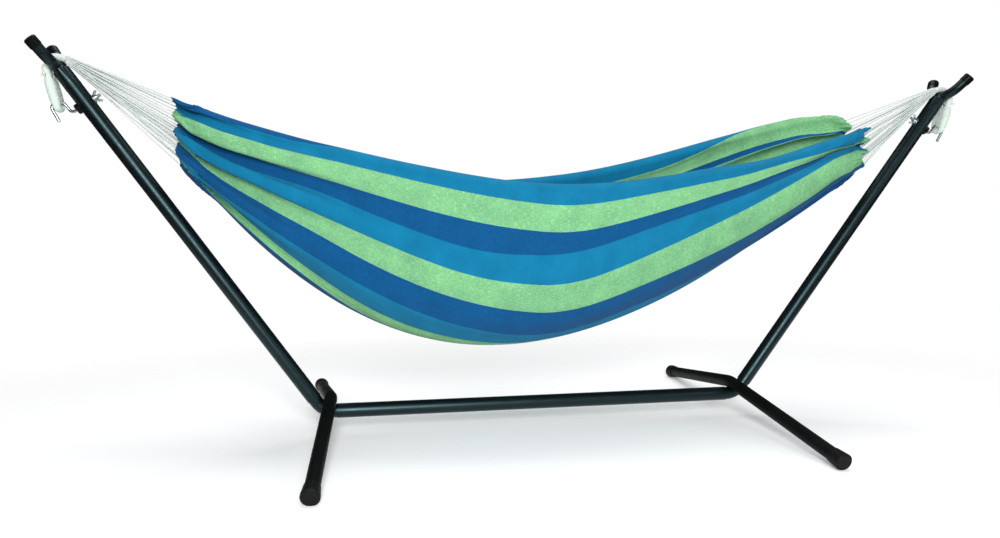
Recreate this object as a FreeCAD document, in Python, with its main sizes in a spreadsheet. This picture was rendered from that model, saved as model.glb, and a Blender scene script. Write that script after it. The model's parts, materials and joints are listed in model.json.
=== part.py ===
import FreeCAD, Part
import Sketcher
import math
import os

# Garden hammock: a striped cloth bed on clew strings, held between the two arms of a steel tube stand.
# The frame: +X along the stand, +Z up, origin on the floor under the middle of the base beam.
# "Left" is the -X end, "front" is the -Y side. All lengths are millimetres and all angles degrees.

Vector = FreeCAD.Vector

DIMENSIONS = {
    # stand: main tubes
    "tube_diameter": 45,
    "tube_wall": 1.5,
    "corner_reach": 690,
    "beam_height": 76,
    "beam_gap": 40,
    "arm_angle": 56,
    "arm_gap": 50,
    "arm_end": 1186,
    "arm_plug": 6,
    # elbows that the beam and the arms push onto
    "elbow_diameter": 41.8,
    "elbow_wall": 2.5,
    "elbow_radius": 70,
    "elbow_sleeve": 150,
    # cross feet
    "foot_diameter": 40,
    "foot_wall": 1.5,
    "foot_offset": 47.5,
    "foot_bend_radius": 120,
    "foot_reach": 545,
    "foot_sweep": 45,
    "foot_end_height": 22,
    "cap_mouth_diameter": 44,
    "cap_diameter": 50,
    "cap_length": 48,
    "cap_floor": 6,
    "cap_round": 4,
    # forks across the arm tops
    "fork_diameter": 30,
    "fork_wall": 2,
    "fork_seat": 1200,
    "fork_bottom": 16,
    "fork_radius": 55,
    "fork_turn": 62,
    "fork_horn": 38,
    "fork_cap_wall": 1.6,
    "fork_cap_length": 24,
    "fork_cap_end": 5,
    "fork_cap_round": 3,
    # hook bolts and what they carry
    "bolt_height": 1085,
    "bolt_diameter": 8,
    "bolt_clearance": 1,
    "hole_pitch": 120,
    "hole_count": 4,
    "bolt_thread": 44,
    "hook_shank": 36,
    "hook_bend_radius": 11,
    "hook_rise": 17,
    "hook_crest": 14,
    "hook_tip": 34,
    "hook_turn_up": 87,
    "hook_turn_over": 67,
    "hook_turn_down": 101,
    "spacer_diameter": 28,
    "spacer_height": 7.5,
    "washer_diameter": 24,
    "washer_thickness": 1.6,
    "washer_bore": 8.4,
    "nut_gap": 0.3,
    "nut_clearance": 0.05,
    "nut_base_diameter": 18,
    "nut_top_diameter": 13,
    "nut_hub_height": 9,
    "nut_wing_span": 17,
    "nut_wing_height": 17,
    "nut_wing_thickness": 3,
    # rope work
    "loop_rope": 20,
    "loop_half_gap": 15,
    "loop_crest_along": 1111,
    "loop_crest_out": 67,
    "loop_length": 78,
    "loop_lean": 11,
    "neck_rope": 18,
    "neck_gap": 0.6,
    "neck_entry": 20,
    "neck_wrap": 110,
    "neck_lead": 13,
    "string_diameter": 3.2,
    "string_pitch": 3.4,
    "string_rows": 6,
    "string_columns": 3,
    "string_gap": 2.5,
    # cloth bed
    "bed_reach": 1062,
    "bed_thickness": 4,
    "bed_edge_height": 765,
    "bed_edge_rise": 228,
    "bed_low_corner_rise": 193,
    "bed_edge_sweep": 425,
    "bed_bottom_height": 275,
    "bed_bottom_rise": 560,
    "bed_bottom_power": 2,
    "bed_skew": 0.15,
    "bed_radius": 290,
    "hem_radius": 42,
    "hem_pleat": 20,
    "hem_pleats": 8,
}

SIDES = {"left": -1, "right": 1}
FACES = {"front": -1, "rear": 1}
BED_STATIONS = 17


class Size:
    """A number with the expression that binds it to the spreadsheet."""

    def __init__(self, value, text):
        self.value = value
        self.text = text

    def join(self, sign, other):
        text = other.text if isinstance(other, Size) else repr(other)
        return f"({self.text} {sign} {text})"

    def __add__(self, other):
        return Size(self.value + number(other), self.join("+", other))

    def __sub__(self, other):
        return Size(self.value - number(other), self.join("-", other))

    def __mul__(self, other):
        return Size(self.value * number(other), self.join("*", other))

    def __truediv__(self, other):
        return Size(self.value / number(other), self.join("/", other))


def number(size):
    return size.value if isinstance(size, Size) else size


class Sizes:
    """The driving dimensions, each an attribute: size.tube_wall."""

    def __init__(self, values):
        for name, value in values.items():
            setattr(self, name, Size(value, f"Dimensions.{name}"))


size = Sizes(DIMENSIONS)
doc = FreeCAD.newDocument("hammock")
sub_parts = []


def make_sheet():
    sheet = doc.addObject("Spreadsheet::Sheet", "Dimensions")
    for row, (name, value) in enumerate(DIMENSIONS.items(), start=1):
        sheet.set(f"A{row}", name)
        sheet.set(f"B{row}", str(value))
        sheet.setAlias(f"B{row}", name)
    doc.recompute()


def bind(thing, prop, amount):
    """Sets a property and ties it to the sheet."""
    setattr(thing, prop, amount.value)
    thing.setExpression(prop, amount.text)


def as_sub_part(thing, label):
    thing.Label = label
    sub_parts.append(thing)
    return thing


# ---------------------------------------------------------------- frames

ARM_COS = math.cos(math.radians(size.arm_angle.value))
ARM_SIN = math.sin(math.radians(size.arm_angle.value))


def arm_place(side, along, out=0.0, y=0.0):
    """A point given by its distance along an arm's axis from the corner and its distance out from the axis."""
    x = size.corner_reach.value + along * ARM_COS + out * ARM_SIN
    z = size.beam_height.value + along * ARM_SIN - out * ARM_COS
    return Vector(side * x, y, z)


def arm_direction(side):
    return Vector(side * ARM_COS, 0, ARM_SIN)


def out_direction(side):
    return Vector(side * ARM_SIN, 0, -ARM_COS)


def frame_at(origin, x_axis, y_axis):
    """The placement whose own X and Y axes point the given ways."""
    z_axis = x_axis.cross(y_axis)
    return FreeCAD.Placement(origin, FreeCAD.Rotation(x_axis, y_axis, z_axis, "XYZ"))


# ---------------------------------------------------------------- bodies and sketches


def new_body(label):
    body = doc.addObject("PartDesign::Body", "Body")
    body.Label = label
    return body


def origin_plane(body, role):
    return next(f for f in body.Origin.OriginFeatures if f.Role == role)


def new_sketch(body, name, role, height=None):
    """A sketch on one of the body's origin planes, raised along the plane's normal by height."""
    sketch = body.newObject("Sketcher::SketchObject", name)
    sketch.AttachmentSupport = (origin_plane(body, role), "")
    sketch.MapMode = "FlatFace"
    if height is not None:
        sketch.AttachmentOffset = FreeCAD.Placement(Vector(0, 0, height.value), FreeCAD.Rotation())
        sketch.setExpression("AttachmentOffset.Base.z", height.text)
    return sketch


def bind_constraint(sketch, constraint, name, amount):
    index = sketch.addConstraint(constraint)
    sketch.renameConstraint(index, name)
    sketch.setExpression(f"Constraints.{name}", amount.text)


def add_circle(sketch, name, radius):
    """A circle about the sketch's origin."""
    geometry = sketch.addGeometry(Part.Circle(Vector(0, 0, 0), Vector(0, 0, 1), radius.value))
    sketch.addConstraint(Sketcher.Constraint("Coincident", geometry, 3, -1, 1))
    bind_constraint(sketch, Sketcher.Constraint("Radius", geometry, radius.value), name, radius)


def add_ring(sketch, outer, wall=None):
    """A tube's section, or a rod's if it has no wall."""
    add_circle(sketch, "outer_radius", outer)
    if wall is not None:
        add_circle(sketch, "inner_radius", outer - wall)


def pin_coordinate(sketch, kind, geometry, point, amount, name):
    """Holds one coordinate of a sketch point; one that is zero lies on the axis."""
    if number(amount) == 0:
        axis = -2 if kind == "DistanceX" else -1
        sketch.addConstraint(Sketcher.Constraint("PointOnObject", geometry, point, axis))
        return
    constraint = Sketcher.Constraint(kind, -1, 1, geometry, point, amount.value)
    bind_constraint(sketch, constraint, name, amount)


def add_outline(sketch, corners):
    """A closed polygon; each corner is a pair of sizes."""
    places = [Vector(number(x), number(y), 0) for x, y in corners]
    count = len(places)
    lines = [
        sketch.addGeometry(Part.LineSegment(places[i], places[(i + 1) % count])) for i in range(count)
    ]
    for i, line in enumerate(lines):
        sketch.addConstraint(Sketcher.Constraint("Coincident", line, 2, lines[(i + 1) % count], 1))
        pin_coordinate(sketch, "DistanceX", line, 1, corners[i][0], f"across_{i}")
        pin_coordinate(sketch, "DistanceY", line, 1, corners[i][1], f"up_{i}")


class Turtle:
    """Walks a bent rod's centre line in its own XY-plane, from the origin along +X."""

    def __init__(self):
        self.place = Vector(0, 0, 0)
        self.heading = 0.0

    def forward(self):
        angle = math.radians(self.heading)
        return Vector(math.cos(angle), math.sin(angle), 0)

    def run(self, length):
        start = self.place
        self.place = start + self.forward() * length
        return Part.LineSegment(start, self.place)

    def bend(self, radius, turn):
        """An arc that turns left for a positive angle; returns it and which of its ends comes first."""
        ahead = self.forward()
        left = Vector(-ahead.y, ahead.x, 0)
        side = 1 if turn > 0 else -1
        centre = self.place + left * (side * radius)
        first = math.degrees(math.atan2(self.place.y - centre.y, self.place.x - centre.x))
        last = first + turn
        low, high = sorted((first, last))
        circle = Part.Circle(centre, Vector(0, 0, 1), radius)
        arc = Part.ArcOfCircle(circle, math.radians(low), math.radians(high))
        end = math.radians(last)
        self.place = centre + Vector(math.cos(end), math.sin(end), 0) * radius
        self.heading += turn
        return arc, (1 if turn > 0 else 2)


def bent_rod(label, steps, outer, wall=None):
    """A body swept along a centre line of runs and bends: ("run", length) and ("bend", radius, turn, side)."""
    body = new_body(label)
    path = new_sketch(body, "CentreLine", "XY_Plane")
    turtle = Turtle()
    previous = None
    for i, step in enumerate(steps):
        if step[0] == "run":
            geometry = path.addGeometry(turtle.run(step[1].value))
            entry, leave = 1, 2
            constraint = Sketcher.Constraint("Distance", geometry, step[1].value)
            bind_constraint(path, constraint, f"run_{i}", step[1])
        else:
            arc, entry = turtle.bend(step[1].value, step[2].value * step[3])
            leave = 3 - entry
            geometry = path.addGeometry(arc)
            constraint = Sketcher.Constraint("Radius", geometry, step[1].value)
            bind_constraint(path, constraint, f"radius_{i}", step[1])
            sweep = Sketcher.Constraint("Angle", geometry, math.radians(step[2].value))
            bind_constraint(path, sweep, f"turn_{i}", step[2])
        if previous is None:
            path.addConstraint(Sketcher.Constraint("Coincident", geometry, entry, -1, 1))
            path.addConstraint(Sketcher.Constraint("Horizontal", geometry))
        else:
            path.addConstraint(Sketcher.Constraint("Tangent", previous[0], previous[1], geometry, entry))
        previous = (geometry, leave)
    section = new_sketch(body, "Section", "YZ_Plane")
    add_ring(section, outer, wall)
    doc.recompute()
    pipe = body.newObject("PartDesign::AdditivePipe", "Sweep")
    pipe.Profile = section
    pipe.Spine = (path, [f"Edge{i + 1}" for i in range(len(steps))])
    body.Tip = pipe
    return body


def straight_tube(label, length, outer, wall, centred=False):
    """A tube along its own +Z, from the origin up or centred on it."""
    body = new_body(label)
    section = new_sketch(body, "Section", "XY_Plane")
    add_ring(section, outer, wall)
    pad = body.newObject("PartDesign::Pad", "Tube")
    pad.Profile = section
    bind(pad, "Length", length)
    pad.Midplane = centred
    body.Tip = pad
    return body


def turned(label, corners):
    """A body turned about its own Z axis from an outline of (radius, height) corners."""
    body = new_body(label)
    outline = new_sketch(body, "Outline", "XZ_Plane")
    add_outline(outline, corners)
    spin = body.newObject("PartDesign::Revolution", "Turned")
    spin.Profile = outline
    spin.ReferenceAxis = (outline, ["V_Axis"])
    spin.Angle = 360
    body.Tip = spin
    return body


def middle_of(steps):
    """Where a symmetrical rod's centre line has its middle, and its heading there."""
    turtle = Turtle()
    half = len(steps) // 2
    for step in steps[:half]:
        if step[0] == "run":
            turtle.run(step[1].value)
        else:
            turtle.bend(step[1].value, step[2].value * step[3])
    step = steps[half]
    if step[0] == "run":
        turtle.run(step[1].value / 2)
    else:
        turtle.bend(step[1].value, step[2].value * step[3] / 2)
    return frame_at(turtle.place, turtle.forward(), Vector(0, 0, 1).cross(turtle.forward()))


def place_middle(body, steps, origin, x_axis, y_axis):
    """Puts the rod's middle at a point, heading along x_axis, and bending towards y_axis."""
    body.Placement = frame_at(origin, x_axis, y_axis) * middle_of(steps).inverse()


def cut(label, base, tool):
    result = doc.addObject("Part::Cut", "Cut")
    result.Base = base
    result.Tool = tool
    return as_sub_part(result, label)


# ---------------------------------------------------------------- stand


def make_base_beam():
    length = (size.corner_reach - size.beam_gap) * 2
    beam = straight_tube("base_beam", length, size.tube_diameter / 2, size.tube_wall, centred=True)
    beam.Placement = frame_at(Vector(0, 0, size.beam_height.value), Vector(0, 0, -1), Vector(0, 1, 0))
    as_sub_part(beam, "base_beam")


def elbow_steps():
    return [
        ("run", size.elbow_sleeve),
        ("bend", size.elbow_radius, size.arm_angle, 1),
        ("run", size.elbow_sleeve),
    ]


def place_elbow(body, side):
    """The bend's middle lies on the bisector of the corner, towards its inside."""
    half = math.radians(size.arm_angle.value / 2)
    inset = size.elbow_radius.value * (1 / math.cos(half) - 1)
    heading = Vector(side * math.cos(half), 0, math.sin(half))
    inward = Vector(-side * math.sin(half), 0, math.cos(half))
    corner = arm_place(side, 0)
    place_middle(body, elbow_steps(), corner + inward * inset, heading, inward)


def make_elbow(name, side):
    elbow = bent_rod(f"elbow_{name}", elbow_steps(), size.elbow_diameter / 2, size.elbow_wall)
    place_elbow(elbow, side)
    as_sub_part(elbow, f"elbow_{name}")


def make_arm(name, side):
    """An arm tube, closed at the top by a welded plug that is hollowed to seat the fork."""
    length = size.arm_end - size.arm_gap
    tube = straight_tube(f"arm_body_{name}", length, size.tube_diameter / 2, size.tube_wall)
    plug_sketch = new_sketch(tube, "PlugSection", "XY_Plane", length - size.arm_plug)
    add_circle(plug_sketch, "plug_radius", size.tube_diameter / 2)
    plug = tube.newObject("PartDesign::Pad", "Plug")
    plug.Profile = plug_sketch
    bind(plug, "Length", size.arm_plug)
    tube.Tip = plug
    doc.recompute()
    solid_volume = plug.Shape.Volume
    hole_sketch = new_sketch(tube, "BoltHole", "YZ_Plane")
    centre = size.bolt_height - size.arm_gap
    radius = size.bolt_diameter / 2 + size.bolt_clearance / 2
    circle = Part.Circle(Vector(0, centre.value, 0), Vector(0, 0, 1), radius.value)
    geometry = hole_sketch.addGeometry(circle)
    hole_sketch.addConstraint(Sketcher.Constraint("PointOnObject", geometry, 3, -2))
    bind_constraint(hole_sketch, Sketcher.Constraint("Radius", geometry, radius.value), "hole_radius", radius)
    height = Sketcher.Constraint("DistanceY", -1, 1, geometry, 3, centre.value)
    bind_constraint(hole_sketch, height, "hole_height", centre)
    pocket = tube.newObject("PartDesign::Pocket", "BoltHolePocket")
    pocket.Profile = hole_sketch
    pocket.Type = "ThroughAll"
    pocket.Midplane = True
    tube.Tip = pocket
    doc.recompute()
    one_hole = solid_volume - pocket.Shape.Volume
    row = tube.newObject("PartDesign::LinearPattern", "HoleRow")
    row.Originals = [pocket]
    row.Direction = (hole_sketch, ["V_Axis"])
    row.Reversed = True
    bind(row, "Length", size.hole_pitch * (size.hole_count - 1))
    bind(row, "Occurrences", size.hole_count)
    tube.Tip = row
    doc.recompute()
    removed = solid_volume - row.Shape.Volume
    assert one_hole > 1 and abs(removed - one_hole * size.hole_count.value) < 1, "arm holes"
    start = arm_place(side, size.arm_gap.value)
    tube.Placement = frame_at(start, out_direction(side) * side, Vector(0, 1, 0))
    seat = doc.addObject("Part::Cylinder", "ForkSeat")
    bind(seat, "Radius", size.fork_diameter / 2)
    bind(seat, "Height", size.tube_diameter * 2)
    middle = arm_place(side, size.fork_seat.value)
    half = size.tube_diameter.value
    seat.Placement = FreeCAD.Placement(middle - Vector(0, half, 0), FreeCAD.Rotation(Vector(1, 0, 0), -90))
    cut(f"arm_tube_{name}", tube, seat)


def foot_frame(side):
    """The foot's middle, the way its ends drop, and the half angle of its bend."""
    half = math.radians(size.arm_angle.value / 2)
    inward = Vector(-side * math.sin(half), 0, math.cos(half))
    middle = arm_place(side, 0) + inward * size.foot_offset.value
    drop = Vector(side * size.foot_sweep.value, 0, size.foot_end_height.value - middle.z)
    slope = math.degrees(math.atan2(drop.Length, size.foot_reach.value))
    return middle, drop.normalize(), slope


def make_foot(name, side):
    middle, down, slope = foot_frame(side)
    turn = Size(2 * slope, repr(2 * slope))
    reach = size.foot_reach.value / math.cos(math.radians(slope))
    inset = size.foot_bend_radius.value * math.tan(math.radians(slope))
    cap_end = size.cap_floor.value
    length = Size(reach - inset - cap_end, repr(reach - inset - cap_end))
    steps = [("run", length), ("bend", size.foot_bend_radius, turn, 1), ("run", length)]
    tube = bent_rod(f"foot_body_{name}", steps, size.foot_diameter / 2, size.foot_wall)
    sag = size.foot_bend_radius.value * (1 / math.cos(math.radians(slope)) - 1)
    place_middle(tube, steps, middle + down * sag, Vector(0, 1, 0), down)
    core = bent_rod(f"elbow_core_{name}", elbow_steps(), size.elbow_diameter / 2)
    place_elbow(core, side)
    cut(f"foot_tube_{name}", tube, core)
    for face, way in FACES.items():
        heading = (Vector(0, way * size.foot_reach.value, 0) + down * (math.tan(math.radians(slope))
                   * size.foot_reach.value)).normalize()
        make_foot_cap(f"foot_cap_{name}_{face}", middle + heading * reach, heading)


def make_foot_cap(label, end, heading):
    """A flared boot over the tube's end; the floor shaves its underside to a flat pad."""
    tube_radius = size.foot_diameter / 2
    zero = Size(0, "0")
    corners = [
        (zero, zero),
        (size.cap_diameter / 2 - size.cap_round, zero),
        (size.cap_diameter / 2, size.cap_round),
        (size.cap_diameter / 2, size.cap_length / 4),
        (size.cap_mouth_diameter / 2, size.cap_length),
        (tube_radius, size.cap_length),
        (tube_radius, size.cap_floor),
        (zero, size.cap_floor),
    ]
    boot = turned(f"{label}_boot", corners)
    back = heading * -1
    level = Vector(0, 0, 1).cross(back).normalize()
    boot.Placement = frame_at(end, level, back.cross(level))
    floor = doc.addObject("Part::Box", "Floor")
    side_length = size.cap_length * 4
    for prop in ("Length", "Width", "Height"):
        bind(floor, prop, side_length)
    half = side_length.value / 2
    floor.Placement.Base = Vector(end.x - half, end.y - half, -side_length.value)
    cut(label, boot, floor)


def fork_steps():
    return [
        ("run", size.fork_horn),
        ("bend", size.fork_radius, size.fork_turn, -1),
        ("run", size.fork_bottom),
        ("bend", size.fork_radius, size.fork_turn, -1),
        ("run", size.fork_horn),
    ]


def make_fork(name, side):
    fork = bent_rod(f"fork_{name}", fork_steps(), size.fork_diameter / 2, size.fork_wall)
    seat = arm_place(side, size.fork_seat.value)
    place_middle(fork, fork_steps(), seat, Vector(0, 1, 0), arm_direction(side) * -1)
    as_sub_part(fork, f"fork_{name}")
    turtle = Turtle()
    turtle.heading = 0.0
    turtle.run(size.fork_bottom.value / 2)
    turtle.bend(size.fork_radius.value, size.fork_turn.value)
    turtle.run(size.fork_horn.value)
    for face, way in FACES.items():
        end = seat + Vector(0, way * turtle.place.x, 0) + arm_direction(side) * turtle.place.y
        ahead = turtle.forward()
        heading = Vector(0, way * ahead.x, 0) + arm_direction(side) * ahead.y
        make_fork_cap(f"fork_cap_{name}_{face}", end, heading)


def make_fork_cap(label, end, heading):
    bore = size.fork_diameter / 2
    outer = bore + size.fork_cap_wall
    depth = size.fork_cap_length - size.fork_cap_end
    zero = Size(0, "0")
    corners = [
        (bore, zero),
        (outer, zero),
        (outer, size.fork_cap_length - size.fork_cap_round),
        (outer - size.fork_cap_round, size.fork_cap_length),
        (zero, size.fork_cap_length),
        (zero, depth),
        (bore, depth),
    ]
    cap = turned(label, corners)
    mouth = end - heading * depth.value
    across = Vector(1, 0, 0).cross(heading).normalize()
    cap.Placement = frame_at(mouth, across, heading.cross(across))
    as_sub_part(cap, label)


# ---------------------------------------------------------------- hook bolts


def make_hook_bolt(name, side):
    bend = size.hook_bend_radius
    steps = [
        ("run", size.bolt_thread + size.hook_shank),
        ("bend", bend, size.hook_turn_up, 1),
        ("run", size.hook_rise),
        ("bend", bend, size.hook_turn_over, -1),
        ("run", size.hook_crest),
        ("bend", bend, size.hook_turn_down, -1),
        ("run", size.hook_tip),
    ]
    bolt = bent_rod(f"hook_bolt_{name}", steps, size.bolt_diameter / 2)
    start = arm_place(side, size.bolt_height.value, -size.bolt_thread.value)
    bolt.Placement = frame_at(start, out_direction(side), arm_direction(side))
    as_sub_part(bolt, f"hook_bolt_{name}")


def on_bolt(side, out):
    """A placement on the bolt's axis, its own Z pointing out of the arm."""
    z_axis = out_direction(side)
    return frame_at(arm_place(side, size.bolt_height.value, out), Vector(0, 1, 0).cross(z_axis), Vector(0, 1, 0))


def make_spacer(name, side):
    """A block whose inner end is hollowed to sit on the arm."""
    arm_radius = size.tube_diameter.value / 2
    block = straight_tube(
        f"spacer_block_{name}",
        size.tube_diameter / 2 + size.spacer_height,
        size.spacer_diameter / 2,
        size.spacer_diameter / 2 - size.washer_bore / 2,
    )
    block.Placement = on_bolt(side, 0)
    arm_core = doc.addObject("Part::Cylinder", "ArmCore")
    bind(arm_core, "Radius", size.tube_diameter / 2)
    bind(arm_core, "Height", size.tube_diameter * 2)
    foot = arm_place(side, size.bolt_height.value - 2 * arm_radius)
    arm_core.Placement = frame_at(foot, out_direction(side) * side, Vector(0, 1, 0))
    cut(f"saddle_spacer_{name}", block, arm_core)


def make_washer(label, placement):
    ring_wall = size.washer_diameter / 2 - size.washer_bore / 2
    washer = straight_tube(label, size.washer_thickness, size.washer_diameter / 2, ring_wall)
    washer.Placement = placement
    as_sub_part(washer, label)


def make_wing_nut(name, side):
    """A coned hub with two wings, standing on the inner washer."""
    bore = size.bolt_diameter / 2 + size.nut_clearance
    base = size.nut_base_diameter / 2
    top = size.nut_top_diameter / 2
    zero = Size(0, "0")
    nut = turned(
        f"wing_nut_{name}",
        [(bore, zero), (base, zero), (base, size.nut_hub_height / 5), (top, size.nut_hub_height),
         (bore, size.nut_hub_height)],
    )
    wings = new_sketch(nut, "Wings", "XZ_Plane")
    for way, tag in ((1, "a"), (-1, "b")):
        add_wing(wings, way, tag)
    pad = nut.newObject("PartDesign::Pad", "WingPad")
    pad.Profile = wings
    bind(pad, "Length", size.nut_wing_thickness)
    pad.Midplane = True
    nut.Tip = pad
    inner_face = -(size.tube_diameter.value / 2 + size.washer_thickness.value + size.nut_gap.value)
    z_axis = out_direction(side) * -1
    start = arm_place(side, size.bolt_height.value, inner_face)
    nut.Placement = frame_at(start, arm_direction(side), z_axis.cross(arm_direction(side)))
    as_sub_part(nut, f"wing_nut_{name}")


def add_wing(sketch, way, tag):
    """One wing's outline, from inside the hub's wall up to a blunt tip."""
    root = size.nut_top_diameter / 2 - 1.2
    corners = [
        (root, size.nut_hub_height / 9),
        (size.nut_base_diameter / 2 + 1, size.nut_hub_height / 9),
        (size.nut_wing_span, size.nut_wing_height - 5),
        (size.nut_wing_span - 0.5, size.nut_wing_height - 1.5),
        (size.nut_wing_span - 4, size.nut_wing_height),
        (root, size.nut_hub_height - 1),
    ]
    places = [Vector(way * x.value, z.value, 0) for x, z in corners]
    count = len(places)
    lines = [sketch.addGeometry(Part.LineSegment(places[i], places[(i + 1) % count])) for i in range(count)]
    for i, line in enumerate(lines):
        sketch.addConstraint(Sketcher.Constraint("Coincident", line, 2, lines[(i + 1) % count], 1))
        across = Sketcher.Constraint("DistanceX", -1, 1, line, 1, way * corners[i][0].value)
        bind_constraint(sketch, across, f"across_{tag}_{i}", corners[i][0] * way)
        up = Sketcher.Constraint("DistanceY", -1, 1, line, 1, corners[i][1].value)
        bind_constraint(sketch, up, f"up_{tag}_{i}", corners[i][1])


# ---------------------------------------------------------------- rope work


def shape_part(label, shape):
    """A sub-part whose shape is set directly, because no single feature makes it."""
    feature = doc.addObject("Part::Feature", "Shape")
    feature.Shape = shape
    feature.Placement = FreeCAD.Placement()
    return as_sub_part(feature, label)


def round_along(wire, radius, normal):
    """A round rope along a wire."""
    start = wire.Edges[0].valueAt(wire.Edges[0].FirstParameter)
    section = Part.Wire([Part.makeCircle(radius, start, normal)])
    return wire.makePipeShell([section], True, False)


def loop_frame(side):
    """The crest of the loop under the hook, and the way its legs rise."""
    bight = arm_place(side, size.loop_crest_along.value, size.loop_crest_out.value)
    lean = math.radians(size.loop_lean.value)
    return bight, Vector(side * math.sin(lean), 0, math.cos(lean))


def make_end_loop(name, side):
    """The whipped loop: two legs, closed by a half turn under the hook and one at the neck."""
    bight, rise = loop_frame(side)
    gap = size.loop_half_gap.value
    low = bight + rise * gap
    high = low + rise * size.loop_length.value
    front = Vector(0, -gap, 0)
    rear = Vector(0, gap, 0)
    wire = Part.Wire([
        Part.LineSegment(low + front, high + front).toShape(),
        Part.Arc(high + front, high + rise * gap, high + rear).toShape(),
        Part.LineSegment(high + rear, low + rear).toShape(),
        Part.Arc(low + rear, bight, low + front).toShape(),
    ])
    shape_part(f"end_loop_{name}", round_along(wire, size.loop_rope.value / 2, rise))


def neck_pivot(side):
    """Where the strings come together: the free end of the neck, and the way it points."""
    entry = math.radians(size.neck_entry.value)
    toward = Vector(-side * math.cos(entry), 0, -math.sin(entry))
    radius = neck_radius()
    seat = arm_place(side, size.fork_seat.value)
    touch = seat + Vector(-side * math.sin(entry), 0, math.cos(entry)) * radius
    return touch + toward * size.neck_lead.value, toward, touch


def neck_radius():
    return (size.fork_diameter.value + size.neck_rope.value) / 2 + size.neck_gap.value


def make_rope_neck(name, side):
    """The bundled strings, laid over the fork's middle and down to the loop."""
    tip, toward, touch = neck_pivot(side)
    seat = arm_place(side, size.fork_seat.value)
    radius = neck_radius()

    def on_fork(angle):
        turn = math.radians(angle)
        return seat + Vector(side * math.sin(turn), 0, math.cos(turn)) * radius

    first = -size.neck_entry.value
    last = first + size.neck_wrap.value
    wire = Part.Wire([
        Part.LineSegment(tip, touch).toShape(),
        Part.Arc(on_fork(first), on_fork((first + last) / 2), on_fork(last)).toShape(),
    ])
    shape_part(f"rope_neck_{name}", round_along(wire, size.neck_rope.value / 2, toward))


def hem_section(side, turn):
    """A point of the gathered hem, by its share of the way round from front (-1) to rear (1)."""
    radius = size.hem_radius.value
    wall = hem_wall(side, math.copysign(1, turn))
    quarter = math.pi * radius / 2
    walk = turn * (wall + quarter)
    if abs(walk) < quarter:
        angle = walk / radius
        normal = (math.sin(angle), -math.cos(angle))
        base = (radius * normal[0], radius * normal[1])
    else:
        way = math.copysign(1, walk)
        normal = (way, 0.0)
        base = (way * radius, abs(walk) - quarter)
    ripple = size.hem_pleat.value * math.cos(math.pi * size.hem_pleats.value * turn)
    return base[0] + normal[0] * ripple, base[1] + normal[1] * ripple


def bed_edge_height(share, way):
    """Height of a long edge, front (-1) or rear (1), at a share of the bed's reach."""
    sweep = size.bed_edge_sweep.value / size.bed_reach.value
    climb = (math.hypot(share, sweep) - sweep) / (math.hypot(1, sweep) - sweep)
    low_corner = share > 0 and way < 0
    rise = size.bed_low_corner_rise if low_corner else size.bed_edge_rise
    return size.bed_edge_height.value + rise.value * climb


def bed_bottom_height(share):
    """Height of the bed's keel; its lowest place is a little to the left of the middle."""
    skewed = share + size.bed_skew.value * (1 - share * share)
    return size.bed_bottom_height.value + size.bed_bottom_rise.value * abs(skewed) ** size.bed_bottom_power.value


def hem_wall(side, way):
    return bed_edge_height(side, way) - bed_bottom_height(side) - size.hem_radius.value


def make_strings(name, side):
    """The fan of strings from the neck to the hem, one straight solid each, in neat order."""
    tip, toward, _ = neck_pivot(side)
    count = int(size.string_rows.value * size.string_columns.value)
    centre_height = bed_bottom_height(1) + size.hem_radius.value
    pitch = size.string_pitch.value
    upward = Vector(0, side, 0).cross(toward)
    solids = []
    for i in range(count):
        turn = -1 + 2 * (i + 0.5) / count
        y, z = hem_section(side, turn)
        end = Vector(side * (size.bed_reach.value + size.string_gap.value), y, centre_height + z)
        column, row = string_cell(i, count)
        start = tip + toward * size.string_gap.value
        start += Vector(0, column * pitch, 0) + upward * (row * pitch)
        axis = end - start
        solids.append(Part.makeCylinder(size.string_diameter.value / 2, axis.Length, start, axis))
    shape_part(f"clew_strings_{name}", Part.makeCompound(solids))


def string_cell(index, count):
    """Column and row of a string at the neck: front strings in front, low strings low."""
    rows = size.string_rows.value
    columns = size.string_columns.value
    column = index * columns // count
    place = index - column * rows
    from_middle = index - (count - 1) / 2
    if column == 0:
        row = rows - 1 - place
    elif column == columns - 1:
        row = place
    else:
        row = 2 * abs(from_middle) - (1 if from_middle > 0 else 0)
    return column - (columns - 1) / 2, row - (rows - 1) / 2


# ---------------------------------------------------------------- bed


def bed_section(x):
    """A closed U-shaped band across the bed."""
    share = x / size.bed_reach.value
    middle = size.hem_radius.value + (size.bed_radius.value - size.hem_radius.value) * (1 - share * share)
    keel = bed_bottom_height(share)
    front_edge = bed_edge_height(share, -1)
    rear_edge = bed_edge_height(share, 1)
    centre = keel + middle
    half = size.bed_thickness.value / 2
    edges = []
    ends = []
    for radius, way in ((middle + half, 1), (middle - half, -1)):
        low_front = Vector(x, -radius, centre)
        low_rear = Vector(x, radius, centre)
        top_front = Vector(x, -radius, front_edge)
        top_rear = Vector(x, radius, rear_edge)
        parts = [
            Part.LineSegment(top_front, low_front).toShape(),
            Part.Arc(low_front, Vector(x, 0, centre - radius), low_rear).toShape(),
            Part.LineSegment(low_rear, top_rear).toShape(),
        ]
        edges.append(parts if way > 0 else parts[::-1])
        ends.append((top_front, top_rear))
    rear_lip = Part.LineSegment(ends[0][1], ends[1][1]).toShape()
    front_lip = Part.LineSegment(ends[1][0], ends[0][0]).toShape()
    return Part.Wire(edges[0] + [rear_lip] + edges[1] + [front_lip])


def make_bed():
    reach = size.bed_reach.value
    places = [(2 * i / (BED_STATIONS - 1) - 1) * reach for i in range(BED_STATIONS)]
    sections = [bed_section(x) for x in places]
    shape_part("hammock_bed", Part.makeLoft(sections, True, True))


# ---------------------------------------------------------------- assembly


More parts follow.
